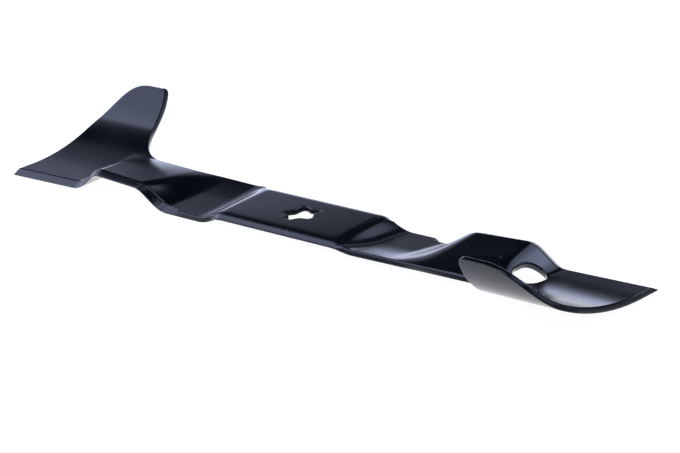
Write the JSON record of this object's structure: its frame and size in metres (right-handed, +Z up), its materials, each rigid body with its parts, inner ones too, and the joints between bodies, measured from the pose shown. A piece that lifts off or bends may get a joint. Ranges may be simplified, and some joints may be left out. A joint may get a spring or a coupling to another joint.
{
  "type": "lawn mower blade",
  "caption": "Pressed steel mower blade with a star-shaped centre hole, dipped and raised arms, ground cutting edges and a tall curled wing behind each tip.",
  "frame": {"origin": "axis of the star hole on the top face of the centre flat", "axes": "+X along the blade from tip to tip, +Z up along the spindle towards the wings, +Y across"},
  "size_m": [0.533, 0.148, 0.046],
  "materials": {
    "blade": "gloss black paint over steel plate"
  },
  "bodies": {
    "root": {"blade": "blade"}
  },
  "joints": []
}
